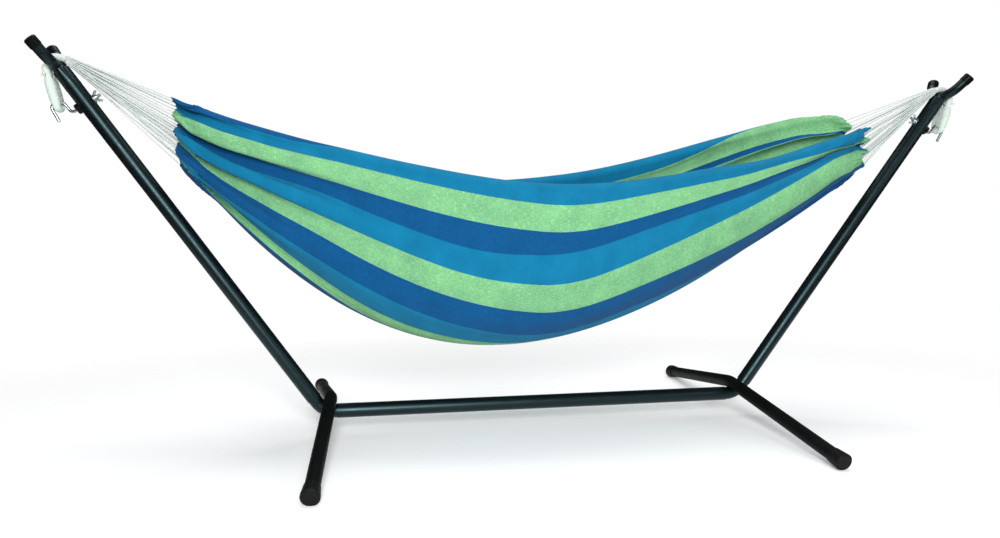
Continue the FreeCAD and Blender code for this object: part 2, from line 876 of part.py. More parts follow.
def check_document():
    """Every object computed, and every sub-part one valid closed shape."""
    bad = [o.Label for o in doc.Objects if "Invalid" in o.State or "Error" in o.State]
    for part in sub_parts:
        if part.Shape.isNull() or not part.Shape.isValid() or not part.Shape.Solids:
            bad.append(part.Label)
    if bad:
        raise SystemExit(f"not built: {bad}")


def write_parts():
    os.makedirs("parts", exist_ok=True)
    for part in sub_parts:
        part.Shape.exportStep(f"parts/{part.Label}.step")
        box = part.Shape.BoundBox
        print(f"{part.Label}: volume {part.Shape.Volume:.0f}, solids {len(part.Shape.Solids)}, "
              f"x {box.XMin:.1f}..{box.XMax:.1f}, y {box.YMin:.1f}..{box.YMax:.1f}, "
              f"z {box.ZMin:.1f}..{box.ZMax:.1f}")


make_sheet()
make_base_beam()
for side_name, side_sign in SIDES.items():
    make_elbow(side_name, side_sign)
    make_arm(side_name, side_sign)
    make_foot(side_name, side_sign)
    make_fork(side_name, side_sign)
    make_hook_bolt(side_name, side_sign)
    make_spacer(side_name, side_sign)
    tube_side = size.tube_diameter.value / 2
    make_washer(f"outer_washer_{side_name}", on_bolt(side_sign, tube_side + size.spacer_height.value))
    make_washer(f"inner_washer_{side_name}", on_bolt(side_sign, -tube_side - size.washer_thickness.value))
    make_wing_nut(side_name, side_sign)
    make_end_loop(side_name, side_sign)
    make_rope_neck(side_name, side_sign)
    make_strings(side_name, side_sign)
make_bed()
doc.recompute()
check_document()
write_parts()
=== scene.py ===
"""A striped hammock on its steel stand: cloth, ropes, finishes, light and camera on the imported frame."""

import json
import math

import bpy
import numpy as np
from mathutils import Matrix, Vector


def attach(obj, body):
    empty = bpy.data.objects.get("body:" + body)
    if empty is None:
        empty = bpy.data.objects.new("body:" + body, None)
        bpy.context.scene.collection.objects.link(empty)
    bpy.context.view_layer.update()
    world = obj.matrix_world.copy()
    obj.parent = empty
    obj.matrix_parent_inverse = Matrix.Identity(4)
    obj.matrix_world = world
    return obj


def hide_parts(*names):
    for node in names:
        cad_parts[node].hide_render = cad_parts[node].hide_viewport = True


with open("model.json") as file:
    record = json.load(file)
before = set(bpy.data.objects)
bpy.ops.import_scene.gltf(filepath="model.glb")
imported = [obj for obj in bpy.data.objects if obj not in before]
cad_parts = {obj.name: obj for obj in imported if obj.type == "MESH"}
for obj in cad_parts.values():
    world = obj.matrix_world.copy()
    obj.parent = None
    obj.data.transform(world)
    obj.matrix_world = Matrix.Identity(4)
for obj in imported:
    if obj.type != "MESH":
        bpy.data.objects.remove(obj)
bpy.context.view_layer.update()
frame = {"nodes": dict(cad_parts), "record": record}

SIDES = {"left": -1, "right": 1}
UP = Vector((0, 0, 1))

# the stand's arms and what the ropes pass over, as in the CAD, in metres
CORNER_REACH = 0.690
BEAM_HEIGHT = 0.076
ARM_ANGLE = math.radians(56)
ARM_RADIUS = 0.0225
COLLAR_START = 1.135
FORK_SEAT = 1.200
FORK_RADIUS = 0.015
NECK_ROPE = 0.018
NECK_GAP = 0.0006
NECK_ENTRY = math.radians(20)
NECK_WRAP = math.radians(110)
NECK_LEAD = 0.013
LOOP_ROPE = 0.020
LOOP_HALF_GAP = 0.015
LOOP_CREST = (1.111, 0.067)
LOOP_LENGTH = 0.078
LOOP_LEAN = math.radians(11)
STRING = 0.0032
STRING_PITCH = 0.0034
STRING_ROWS = 6
STRING_COLUMNS = 3
STRING_GAP = 0.0025

# the swaged collar under each fork, with its weld bead
COLLAR_SKIN = 0.0004
COLLAR_OVERLAP = 0.002
COLLAR_FLARE = 0.003
COLLAR_FORK_GAP = 0.0006
BEAD_HEIGHT = 0.0012
BEAD_PLACE = 0.93
BEAD_SPREAD = 0.05

# how far aside of its string the second strand of a pair starts, as a share of the pitch
TWIN_SHARE = 0.3

# the loop's open ends, the whipping round both and the loose ends above it
LOOP_END_GAP = 0.004
WHIPPING_START = 0.004
WHIPPING_SHARE = 0.86
WHIPPING_TURNS = 26
WHIPPING_THICKNESS = 0.0025
WHIPPING_BULGE = 0.05
WHIPPING_TAPER = 0.10
WHIPPING_GROOVE = 0.07
TUFT_SEED = 7
TUFT_ENDS = 16
TUFT_CORD = 0.0028
TUFT_START = 0.80
TUFT_HEIGHTS = (0.008, 0.020)
TUFT_SPREADS = (0.006, 0.013)
TUFT_HALF_WIDTH = 0.018
TUFT_OUT = 0.006

# the strings' knots, and how finely the routes are drawn
KNOT_SIZE = 0.9 * STRING
KNOT_POINTS = 15
KNOT_POINTS_PER_TURN = 9
ROUTE_RESOLUTION = 24

# the cloth bed, as in the CAD
BED_REACH = 1.062
EDGE_HEIGHT = 0.765
EDGE_RISE = 0.228
LOW_CORNER_RISE = 0.193
EDGE_SWEEP = 0.425
KEEL_HEIGHT = 0.275
KEEL_RISE = 0.560
KEEL_POWER = 2
KEEL_SKEW = 0.15
BED_RADIUS = 0.290
HEM_RADIUS = 0.042
HEM_PLEAT = 0.020
PLEATS = 8

# the cloth as it was cut: three stripes repeat from each edge, and half a navy one ends at the middle
NAVY_WIDTH = 0.074
BLUE_WIDTH = 0.072
GREEN_WIDTH = 0.080
REPEATS = 3
HALF_WIDTH = REPEATS * (NAVY_WIDTH + BLUE_WIDTH + GREEN_WIDTH) + NAVY_WIDTH / 2
CUT_LENGTH = 2.30
CLOTH_THICKNESS = 0.0012
COLUMNS = 420
ROWS = 232

# the turned hem, a little above the cloth, and the seams
HEM_BAND = 0.058
HEM_BAND_ROWS = 13
HEM_BAND_LIFT = 0.0016
HEM_BAND_SHIFT = 0.006
HEM_SEAMS = (0.007, HEM_BAND - 0.003)
HEM_SEAM_LIFT = 0.0026
EDGE_SEAM = 0.010
EDGE_SEAM_END = 0.97
STITCH = 0.0042
STITCH_STEP = 0.0062
THREAD = 0.0011
THREAD_SIDES = 6


# ---------------------------------------------------------------- materials

# the Mix node's sockets when it mixes colours
MIX_FACTOR = 0
MIX_FIRST = 6
MIX_SECOND = 7
MIX_RESULT = 2


class Finish:
    """A node material, with short calls for the nodes it needs."""

    def __init__(self, name, color, roughness, **settings):
        self.material = bpy.data.materials.new(name)
        self.material.use_nodes = True
        self.material.diffuse_color = (*color, 1)
        self.nodes = self.material.node_tree.nodes
        self.links = self.material.node_tree.links
        self.shader = self.nodes["Principled BSDF"]
        self.shader.inputs["Base Color"].default_value = (*color, 1)
        self.shader.inputs["Roughness"].default_value = roughness
        for socket, value in settings.items():
            self.shader.inputs[socket.replace("_", " ")].default_value = value

    def node(self, kind, **settings):
        made = self.nodes.new(kind)
        for name, value in settings.items():
            setattr(made, name, value)
        return made

    def join(self, source, target):
        self.links.new(source, target)

    def place(self, stretch=(1, 1, 1), space="Object"):
        """Coordinates of the surface, stretched along its axes."""
        where = self.node("ShaderNodeTexCoord")
        mapping = self.node("ShaderNodeMapping")
        mapping.inputs["Scale"].default_value = stretch
        self.join(where.outputs[space], mapping.inputs["Vector"])
        return mapping.outputs["Vector"]

    def noise(self, vector, scale, detail=3.0, roughness=0.55):
        made = self.node("ShaderNodeTexNoise")
        made.inputs["Scale"].default_value = scale
        made.inputs["Detail"].default_value = detail
        made.inputs["Roughness"].default_value = roughness
        self.join(vector, made.inputs["Vector"])
        return made.outputs["Fac"]

    def wave(self, vector, scale, direction, distortion):
        made = self.node("ShaderNodeTexWave", bands_direction=direction)
        made.inputs["Scale"].default_value = scale
        made.inputs["Distortion"].default_value = distortion
        self.join(vector, made.inputs["Vector"])
        return made.outputs["Fac"]

    def math(self, operation, first, second=0.0):
        made = self.node("ShaderNodeMath", operation=operation)
        for socket, value in zip(made.inputs, (first, second)):
            if isinstance(value, (int, float)):
                socket.default_value = value
            else:
                self.join(value, socket)
        return made.outputs["Value"]

    def spread(self, value, taken, given=(0.0, 1.0)):
        """Values of one range spread over another."""
        made = self.node("ShaderNodeMapRange")
        for name, number in zip(("From Min", "From Max", "To Min", "To Max"), (*taken, *given)):
            made.inputs[name].default_value = number
        self.join(value, made.inputs["Value"])
        return made.outputs["Result"]

    def steps(self, value, stops):
        """Bands with hard borders, from the value where each one starts."""
        made = self.node("ShaderNodeValToRGB")
        made.color_ramp.interpolation = "CONSTANT"
        bands = made.color_ramp.elements
        # a new ramp already has two bands
        for index, (start, color) in enumerate(stops):
            band = bands[index] if index < 2 else bands.new(start)
            band.position = start
            band.color = (*color, 1)
        self.join(value, made.inputs["Fac"])
        return made.outputs["Color"]

    def mix(self, share, first, second):
        made = self.node("ShaderNodeMix", data_type="RGBA")
        for index, value in ((MIX_FACTOR, share), (MIX_FIRST, first), (MIX_SECOND, second)):
            socket = made.inputs[index]
            if isinstance(value, (int, float)):
                socket.default_value = value
            elif isinstance(value, tuple):
                socket.default_value = (*value, 1)
            else:
                self.join(value, socket)
        return made.outputs[MIX_RESULT]

    def color(self, output):
        self.join(output, self.shader.inputs["Base Color"])

    def roughness(self, output):
        self.join(output, self.shader.inputs["Roughness"])

    def bump(self, height, distance, strength):
        made = self.node("ShaderNodeBump")
        made.inputs["Strength"].default_value = strength
        made.inputs["Distance"].default_value = distance
        self.join(height, made.inputs["Height"])
        earlier = self.shader.inputs["Normal"].links
        if earlier:
            self.join(earlier[0].from_socket, made.inputs["Normal"])
        self.join(made.outputs["Normal"], self.shader.inputs["Normal"])


# the black paint's gloss is slightly cool
GLOSS_TINT = (0.58, 0.98, 1.06, 1.0)


def coated_steel(name, color, roughness, peel, gloss):
    """Powder coat: orange peel, a little dust and faint rubbed streaks."""
    finish = Finish(name, color, roughness, Specular_IOR_Level=gloss, Specular_Tint=GLOSS_TINT)
    where = finish.place()
    dust = finish.noise(where, scale=9.0, detail=6.0, roughness=0.65)
    streaks = finish.noise(finish.place(stretch=(3.0, 3.0, 40.0)), scale=6.0, detail=4.0)
    pale = tuple(1.8 * part + 0.0015 for part in color)
    finish.color(finish.mix(finish.spread(dust, (0.45, 0.8), (0.0, 0.5)), color, pale))
    finish.roughness(finish.spread(streaks, (0.3, 0.7), (roughness * 0.85, roughness * 1.2)))
    finish.bump(finish.noise(where, scale=420.0, detail=2.0), distance=0.0004, strength=peel)
    return finish.material


def moulded(name, color, roughness, grain):
    """Moulded plastic or rubber with a fine spark-eroded grain and scuffs."""
    finish = Finish(name, color, roughness, Specular_IOR_Level=0.12)
    where = finish.place()
    scuffs = finish.noise(where, scale=55.0, detail=8.0, roughness=0.7)
    pale = tuple(2.5 * part + 0.004 for part in color)
    finish.color(finish.mix(finish.spread(scuffs, (0.55, 0.8), (0.0, 0.6)), color, pale))
    finish.roughness(finish.spread(scuffs, (0.3, 0.8), (roughness * 0.85, roughness * 1.2)))
    finish.bump(finish.noise(where, scale=900.0, detail=3.0), distance=0.0004, strength=grain)
    return finish.material


def zinc_plate():
    """Bright zinc: metallic, with a cloudy passivation film and fine draw lines."""
    finish = Finish("zinc_plate", (0.40, 0.46, 0.47), 0.3, Metallic=1.0)
    where = finish.place()
    clouds = finish.noise(where, scale=70.0, detail=5.0)
    finish.color(finish.mix(clouds, (0.26, 0.33, 0.35), (0.52, 0.58, 0.57)))
    finish.roughness(finish.spread(clouds, (0.3, 0.7), (0.2, 0.42)))
    lines = finish.noise(finish.place(stretch=(1, 6, 1)), scale=500.0, detail=2.0)
    finish.bump(lines, distance=0.0002, strength=0.25)
    return finish.material


def cotton(name, color, shade, fibre_scale):
    """Spun cotton: fibres, and slubs that are a little darker."""
    finish = Finish(name, color, 0.92, Sheen_Weight=0.25, Sheen_Roughness=0.5)
    fibres = finish.noise(finish.place(), fibre_scale, detail=6.0, roughness=0.7)
    slubs = finish.noise(finish.place(), scale=60.0)
    tint = finish.mix(finish.spread(fibres, (0.3, 0.75)), shade, color)
    finish.color(finish.mix(finish.spread(slubs, (0.35, 0.7), (0.0, 0.35)), tint, shade))
    finish.bump(fibres, distance=0.0008, strength=0.5)
    return finish.material


NAVY = (0.003, 0.070, 0.212)
BLUE = (0.004, 0.166, 0.322)
BLUE_FLECK = (0.010, 0.26, 0.44)
GREEN = (0.150, 0.440, 0.185)
GREEN_FLECK = (0.450, 0.690, 0.400)
# the colour of the painted shade laid over the cloth in random patches
CLOTH_SHADE = (0.0, 0.03, 0.08)
BLACK = (0.0, 0.0, 0.0)
WHITE = (1.0, 1.0, 1.0)
WARP_FLECKS = (420, 80, 1)
WEFT_FLECKS = (70, 380, 1)
WEAVE_SCALE = 260.0
WEAVE_WANDER = 0.6


def striped_cloth(name="striped_cloth", shift=0.0):
    """Plain-woven cotton in yarn-dyed stripes, placed by the UV map's distance from the cloth's middle."""
    finish = Finish(name, BLUE, 0.92, Sheen_Weight=0.03, Sheen_Roughness=0.5, Specular_IOR_Level=0.1)
    where = finish.place(space="UV")
    across = finish.node("ShaderNodeSeparateXYZ")
    finish.join(where, across.inputs["Vector"])
    from_middle = finish.math("ABSOLUTE", finish.math("ADD", across.outputs["X"], shift))
    share = finish.math("DIVIDE", from_middle, HALF_WIDTH)
    colors = [(0.0, NAVY)]
    greens = [(0.0, BLACK)]
    start = NAVY_WIDTH / 2
    repeat = ((GREEN_WIDTH, GREEN, WHITE), (BLUE_WIDTH, BLUE, BLACK), (NAVY_WIDTH, NAVY, BLACK))
    for width, color, green in repeat * REPEATS:
        colors.append((start / HALF_WIDTH, color))
        greens.append((start / HALF_WIDTH, green))
        start += width
    stripes = finish.steps(share, colors)
    in_green = finish.steps(share, greens)
    warp_noise = finish.noise(finish.place(WARP_FLECKS, "UV"), scale=1.0, roughness=0.7)
    weft_noise = finish.noise(finish.place(WEFT_FLECKS, "UV"), scale=1.0, roughness=0.7)
    warp_flecks = finish.spread(warp_noise, (0.5, 0.72))
    weft_flecks = finish.spread(weft_noise, (0.52, 0.74))
    flecks = finish.math("MAXIMUM", warp_flecks, weft_flecks)
    strength = finish.spread(in_green, (0.0, 1.0), (0.22, 0.85))
    fleck_color = finish.mix(in_green, BLUE_FLECK, GREEN_FLECK)
    body = finish.mix(finish.math("MULTIPLY", flecks, strength), stripes, fleck_color)
    # painted shade: random patches of the cloth darkened toward CLOTH_SHADE, by up to 28%
    shade_patches = finish.noise(where, scale=14.0, detail=4.0)
    finish.color(finish.mix(finish.spread(shade_patches, (0.3, 0.75), (0.0, 0.28)), body, CLOTH_SHADE))
    warp, weft = [finish.wave(where, WEAVE_SCALE, way, WEAVE_WANDER) for way in ("X", "Y")]
    finish.bump(finish.math("ADD", warp, weft), distance=0.0004, strength=0.35)
    finish.bump(finish.noise(where, scale=38.0, detail=4.0), distance=0.004, strength=0.25)
    return finish.material


THREAD_FINISH = cotton("seam_thread", (0.010, 0.110, 0.330), (0.004, 0.050, 0.180), fibre_scale=1500.0)

FINISHES = {
    "stand_paint": coated_steel("stand_paint", (0.0012, 0.0022, 0.0028),
                                roughness=0.36, peel=0.08, gloss=0.42),
    "foot_paint": coated_steel("foot_paint", (0.0040, 0.0040, 0.0036),
                               roughness=0.50, peel=0.30, gloss=0.08),
    "boot_rubber": moulded("boot_rubber", (0.0045, 0.0046, 0.0048), roughness=0.60, grain=0.35),
    "cap_plastic": moulded("cap_plastic", (0.0030, 0.0034, 0.0038), roughness=0.36, grain=0.1),
    "zinc": zinc_plate(),
    "rope_cotton": cotton("rope_cotton", (0.80, 0.90, 0.82), (0.52, 0.61, 0.55), fibre_scale=900.0),
    "string_cotton": cotton("string_cotton", (0.70, 0.75, 0.73), (0.48, 0.54, 0.52), fibre_scale=1200.0),
    "striped_cloth": striped_cloth(),
}


def finish_cad_nodes():
    """Every carried-over CAD node gets its slot's finish."""
    for sub_part in frame["record"]["subparts"]:
        mesh = frame["nodes"][sub_part["node"]].data
        mesh.materials.clear()
        mesh.materials.append(FINISHES[sub_part["material_slot"]])


# ---------------------------------------------------------------- building


def add_mesh(name, points, faces, body, slot, material=None):
    """A smooth-shaded piece that rides on a body, with its slot's finish unless a material is given."""
    mesh = bpy.data.meshes.new(name)
    mesh.from_pydata([tuple(p) for p in points], [], faces)
    mesh.polygons.foreach_set("use_smooth", [True] * len(mesh.polygons))
    mesh.update()
    piece = bpy.data.objects.new(name, mesh)
    bpy.context.scene.collection.objects.link(piece)
    mesh.materials.append(material or FINISHES[slot])
    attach(piece, body)
    return piece


def grid_faces(rows, columns, closed=False):
    """Quads of a grid whose points run row by row."""
    last = columns if closed else columns - 1
    faces = []
    for row in range(rows - 1):
        for column in range(last):
            start = row * columns
            after = (column + 1) % columns
            faces.append((start + column, start + after, start + columns + after, start + columns + column))
    return faces


def smooth_line(points):
    """Points of the NURBS spline that a route's corners control."""
    curve = bpy.data.curves.new("route", "CURVE")
    curve.dimensions = "3D"
    curve.resolution_u = ROUTE_RESOLUTION
    spline = curve.splines.new("NURBS")
    spline.points.add(len(points) - 1)
    for place, point in zip(spline.points, points):
        place.co = (*point, 1)
    spline.order_u = 3
    spline.use_endpoint_u = True
    route = bpy.data.objects.new("route", curve)
    line = bpy.data.meshes.new_from_object(route)
    places = np.array([tuple(v.co) for v in line.vertices])
    bpy.data.objects.remove(route)
    bpy.data.curves.remove(curve)
    bpy.data.meshes.remove(line)
    return places


def distances(line):
    """How far along a line each of its points lies."""
    return np.concatenate([[0.0], np.cumsum(np.linalg.norm(np.diff(line, axis=0), axis=1))])


def even_line(places, step):
    """The same line with points one step apart."""
    along = distances(places)
    count = max(2, int(round(along[-1] / step)) + 1)
    wanted = np.linspace(0, along[-1], count)
    return np.stack([np.interp(wanted, along, places[:, axis]) for axis in range(3)], axis=1)


def turning_frames(line):
    """Two directions square to the line at each point, carried along it without twist."""
    tangents = np.gradient(line, axis=0)
    tangents /= np.linalg.norm(tangents, axis=1)[:, None]
    across = Vector(tangents[0]).orthogonal().normalized()
    firsts = []
    for tangent in tangents:
        way = Vector(tangent)
        across = (across - way * across.dot(way)).normalized()
        firsts.append(tuple(across))
    firsts = np.array(firsts)
    return firsts, np.cross(tangents, firsts)


def rope_points(line, radius, profile, around):
    """Points round a line, where profile gives each one's share of the radius."""
    first, second = turning_frames(line)
    along = distances(line)
    angles = np.linspace(0, 2 * math.pi, around, endpoint=False)
    share = profile(along[:, None], angles[None, :])
    cosines = np.cos(angles)[None, :, None]
    sines = np.sin(angles)[None, :, None]
    offset = first[:, None, :] * cosines + second[:, None, :] * sines
    return line[:, None, :] + offset * (radius * share)[:, :, None]


def laid(plies, lay, depth):
    """Plies that twist round each other once every lay."""
    def profile(along, angles):
        turn = angles - 2 * math.pi * along / lay
        return 1 - depth * (1 - np.abs(np.cos(plies * turn / 2)))
    return profile


def whipped(pitch, depth):
    """Cord wound closely round a core."""
    def profile(along, angles):
        turn = along / pitch + angles / (2 * math.pi)
        return 1 - depth * (1 - np.abs(np.sin(math.pi * turn)))
    return profile


def rope_shape(line, diameter, profile, around):
    """Points and faces of a closed rope along a line, rounded off at its ends."""
    rings = rope_points(line, diameter / 2, profile, around)
    count = len(line)
    points = [tuple(p) for p in rings.reshape(-1, 3)]
    faces = grid_faces(count, around, closed=True)
    for ring, inward in ((0, 1), (count - 1, -1)):
        way = Vector(line[ring] - line[ring + inward]).normalized()
        points.append(tuple(Vector(line[ring]) + way * diameter / 8))
        middle = len(points) - 1
        for column in range(around):
            corner = ring * around + column
            beside = ring * around + (column + 1) % around
            faces.append((beside, corner, middle) if ring == 0 else (corner, beside, middle))
    return points, faces


def joined(shapes):
    """Several shapes as one list of points and one of faces."""
    points = []
    faces = []
    for shape_points, shape_faces in shapes:
        first = len(points)
        points.extend(shape_points)
        faces.extend(tuple(first + corner for corner in face) for face in shape_faces)
    return points, faces


def spindle(middle, along, across, length, width):
    """A short stitch: a spindle that lies along one direction."""
    up = along.cross(across)
    points = [middle - along * length / 2, middle + along * length / 2]
    for step in range(THREAD_SIDES):
        turn = math.pi * step / (THREAD_SIDES / 2)
        points.append(middle + (across * math.cos(turn) + up * math.sin(turn)) * width / 2)
    faces = []
    for step in range(THREAD_SIDES):
        here = 2 + step
        after = 2 + (step + 1) % THREAD_SIDES
        faces += [(0, after, here), (1, here, after)]
    return points, faces


def rope(name, line, diameter, profile, around, body, slot):
    return add_mesh(name, *rope_shape(line, diameter, profile, around), body, slot)


def make_fork_collar(side_name, side):
    """The arm's top, swaged in to meet the fork and welded round it."""
    along = (side * math.cos(ARM_ANGLE), 0, math.sin(ARM_ANGLE))
    outward = (side * math.sin(ARM_ANGLE), 0, -math.cos(ARM_ANGLE))
    rings = 22
    around = 40
    points = []
    for ring in range(rings + 1):
        share = ring / rings
        place = COLLAR_START + (FORK_SEAT - COLLAR_START + COLLAR_OVERLAP) * share
        narrow = smooth_step(share)
        bead = BEAD_HEIGHT * math.exp(-((share - BEAD_PLACE) / BEAD_SPREAD) ** 2)
        half_out = ARM_RADIUS + COLLAR_SKIN + (FORK_RADIUS + COLLAR_FORK_GAP - ARM_RADIUS) * narrow + bead
        half_wide = ARM_RADIUS + COLLAR_SKIN + COLLAR_FLARE * narrow + bead
        middle = arm_place(side, place)
        for column in range(around):
            turn = 2 * math.pi * column / around
            out = Vector(outward) * (math.cos(turn) * half_out)
            points.append(middle + out + Vector((0, math.sin(turn) * half_wide, 0)))
    faces = grid_faces(rings + 1, around, closed=True)
    faces.append(tuple(rings * around + column for column in range(around)))
    return add_mesh(f"fork_collar_{side_name}", points, faces, "stand", "stand_paint")


# ---------------------------------------------------------------- cloth


def edge_height(share, way):
    """Height of a long edge, front (-1) or rear (1), at a share of the bed's reach."""
    sweep = EDGE_SWEEP / BED_REACH
    climb = (math.hypot(share, sweep) - sweep) / (math.hypot(1, sweep) - sweep)
    rise = LOW_CORNER_RISE if share > 0 and way < 0 else EDGE_RISE
    return EDGE_HEIGHT + rise * climb


def keel_height(share):
    skewed = share + KEEL_SKEW * (1 - share * share)
    return KEEL_HEIGHT + KEEL_RISE * abs(skewed) ** KEEL_POWER


def trough_radius(share):
    return HEM_RADIUS + (BED_RADIUS - HEM_RADIUS) * (1 - share * share)


def hem_section(side, turn):
    """A point of the gathered hem by its share of the way round, from front (-1) to rear (1)."""
    wall = edge_height(side, math.copysign(1, turn)) - keel_height(side) - HEM_RADIUS
    quarter = math.pi * HEM_RADIUS / 2
    walk = turn * (wall + quarter)
    if abs(walk) < quarter:
        angle = walk / HEM_RADIUS
        normal = (math.sin(angle), -math.cos(angle))
        base = (HEM_RADIUS * normal[0], HEM_RADIUS * normal[1])
    else:
        way = math.copysign(1, walk)
        normal = (way, 0.0)
        base = (way * HEM_RADIUS, abs(walk) - quarter)
    pleat = HEM_PLEAT * math.cos(math.pi * PLEATS * turn)
    return base[0] + normal[0] * pleat, base[1] + normal[1] * pleat


# at stations along the bed: where the cloth's edge, each border between stripes and the middle lie, from the
# bed's edge (0) down to the keel (1). Less than 0 is rolled over the edge. Folds make stripes narrow
FRONT_STATIONS = (
    (-1.00, (0.00, 0.09, 0.18, 0.33, 0.40, 0.56, 0.64, 0.76, 0.87, 0.96, 1)),
    (-0.87, (-0.20, -0.01, 0.05, 0.20, 0.27, 0.36, 0.47, 0.58, 0.73, 0.80, 1)),
    (-0.70, (-0.15, -0.01, 0.04, 0.15, 0.20, 0.33, 0.43, 0.56, 0.71, 0.78, 1)),
    (-0.50, (-0.16, -0.07, 0.03, 0.14, 0.23, 0.34, 0.47, 0.60, 0.76, 0.88, 1)),
    (-0.25, (-0.16, -0.07, 0.04, 0.16, 0.28, 0.39, 0.52, 0.66, 0.80, 0.91, 1)),
    (0.00, (-0.14, -0.05, 0.06, 0.18, 0.27, 0.41, 0.57, 0.75, 0.88, 0.95, 1)),
    (0.25, (-0.16, -0.06, 0.03, 0.13, 0.19, 0.32, 0.49, 0.68, 0.82, 0.92, 1)),
    (0.50, (-0.18, -0.08, 0.03, 0.10, 0.16, 0.26, 0.47, 0.68, 0.84, 0.93, 1)),
    (0.66, (-0.27, -0.16, -0.01, 0.055, 0.125, 0.21, 0.44, 0.74, 0.87, 0.95, 1)),
    (0.80, (-0.27, -0.16, 0.01, 0.075, 0.155, 0.215, 0.435, 0.84, 0.91, 0.96, 1)),
    (0.92, (-0.30, -0.17, 0.02, 0.08, 0.13, 0.23, 0.41, 0.86, 0.93, 0.97, 1)),
    (1.00, (-0.03, -0.02, 0.22, 0.29, 0.42, 0.50, 0.70, 0.92, 0.95, 0.98, 1)),
)
REAR_STATIONS = (
    (-1.00, (0.00, 0.09, 0.18, 0.33, 0.40, 0.56, 0.64, 0.76, 0.87, 0.96, 1)),
    (-0.50, (-0.16, -0.07, 0.03, 0.15, 0.24, 0.36, 0.50, 0.62, 0.76, 0.88, 1)),
    (0.00, (-0.14, -0.06, 0.06, 0.18, 0.30, 0.43, 0.57, 0.69, 0.82, 0.93, 1)),
    (0.50, (-0.17, -0.08, 0.05, 0.13, 0.16, 0.17, 0.27, 0.50, 0.72, 0.88, 1)),
    (0.80, (-0.26, -0.18, -0.09, 0.08, 0.12, 0.13, 0.28, 0.55, 0.75, 0.90, 1)),
    (0.93, (-0.34, -0.24, -0.14, 0.10, 0.14, 0.15, 0.34, 0.60, 0.78, 0.91, 1)),
    (1.00, (-0.04, -0.03, -0.02, 0.22, 0.26, 0.28, 0.50, 0.72, 0.84, 0.94, 1)),
)
WAYS = {"front": -1, "rear": 1}
STATIONS = {"front": FRONT_STATIONS, "rear": REAR_STATIONS}
STATION_BLEND = 0.07

# the folds: deep at the hems and soft in the open cloth
OPEN_REACH = 0.40
FOLD_REACH = 0.36
FOLD_DEPTH = 0.024
FOLD_GROWTH = 0.06
FOLD_BLEND = 0.035
SOFT_FOLD = 0.003
SIDE_BLEND = 0.6
MUSHROOM = 0.011
MUSHROOM_START = 0.05
MUSHROOM_EDGE = 0.08
KEEL_TENSION = 1.1
TENSION_START = 0.12
LEAN = 0.035
FULL_CURL = 3.3

# the hem's scallops and lobes
TOOTH_DEPTH = 0.003
TOOTH_REACH = 0.012
HEM_LOBE = 0.004
LOBE_REACH = 0.05

# the hem's puckers, which wander and are uneven, and the open cloth's creases
RUFFLE_PITCH = 0.016
RUFFLE_DEPTH = 0.0056
RUFFLE_START = 0.01
RUFFLE_AT_HEM = 0.3
RUFFLE_FADE = 0.05
WANDER = 2.6
WANDER_PITCH = 0.093
FINE_WANDER = 1.7
FINE_WANDER_ALONG = 0.011
FINE_WANDER_ACROSS = 0.017
UNEVEN_MEAN = 0.55
UNEVEN_SWING = 0.45
UNEVEN_PITCH = 0.057
UNEVEN_ALONG = 0.019
CREASE_DEPTH = 0.0016
# pitch of each crease wave, and how far it drifts along the bed
CREASES = ((0.071, 2.2), (0.19, -3.1))

# the radius that the edges roll round, and how far they stand above the bed's even edge
CURL_RADIUS = ((-1.0, 0.001), (-0.95, 0.020), (-0.80, 0.028), (-0.60, 0.021), (-0.40, 0.018), (0.0, 0.024),
               (0.30, 0.025), (0.90, 0.020), (1.0, 0.001))
EDGE_LIFTS = {
    "front": ((-1.0, 0.0), (-0.90, -0.010), (-0.60, -0.009), (-0.30, 0.0), (0.20, 0.004), (0.45, 0.002),
              (0.56, -0.012), (0.70, -0.014), (0.80, -0.005), (0.90, 0.0), (1.0, 0.0)),
    "rear": ((-1.0, 0.0), (-0.25, 0.0), (0.05, 0.035), (0.40, 0.048), (0.70, 0.060), (0.93, 0.050),
             (1.0, 0.0)),
}


def smooth_step(value):
    value = np.clip(value, 0.0, 1.0)
    return value * value * (3 - 2 * value)


def between(stations, share):
    """Values at a share of the bed's reach, blended between stations without corners."""
    places, values = zip(*stations)
    columns = np.array(values, dtype=float).reshape(len(places), -1).T
    near = [share + step * STATION_BLEND / 2 for step in (-2, -1, 0, 1, 2)]
    blended = np.array([np.mean(np.interp(near, places, column)) for column in columns])
    exact = np.array([np.interp(share, places, column) for column in columns])
    from_end = min(1.0, (1 - abs(share)) / STATION_BLEND)
    return exact + (blended - exact) * from_end


def stripe_ends():
    """Distance of each border between stripes from the edge, and of the middle."""
    ends = [0.0]
    for _ in range(REPEATS):
        for width in (NAVY_WIDTH, BLUE_WIDTH, GREEN_WIDTH):
            ends.append(ends[-1] + width)
    return ends + [HALF_WIDTH]


# where the right end's large folds stand out and sink in, from an edge down to the keel
LARGE_FOLDS = {"front": (0.12, 0.33, 0.63, 0.98), "rear": (0.14, 0.29, 0.42, 0.66)}
FOLD_TURNS = (-0.5, 0.0, 1.0, 2.0, 3.0, 4.0)


def pleat_wave(side, face, from_edge, from_hem):
    """The phase of the folds, which run along the cloth's own threads from each end."""
    hem = STATIONS[face][0][1] if side < 0 else STATIONS[face][-1][1]
    down = np.interp(from_edge, stripe_ends(), hem)
    pleats = math.pi * PLEATS * (1 - down)
    if side < 0:
        return np.cos(pleats), np.sin(2 * pleats)
    folds = math.pi * np.interp(down, (0, *LARGE_FOLDS[face], 1), FOLD_TURNS)
    merged = smooth_step(from_hem / FOLD_BLEND)
    return (np.cos(pleats) * (1 - merged) + np.cos(folds) * merged,
            np.sin(2 * pleats) * (1 - merged) - np.sin(folds) * merged)


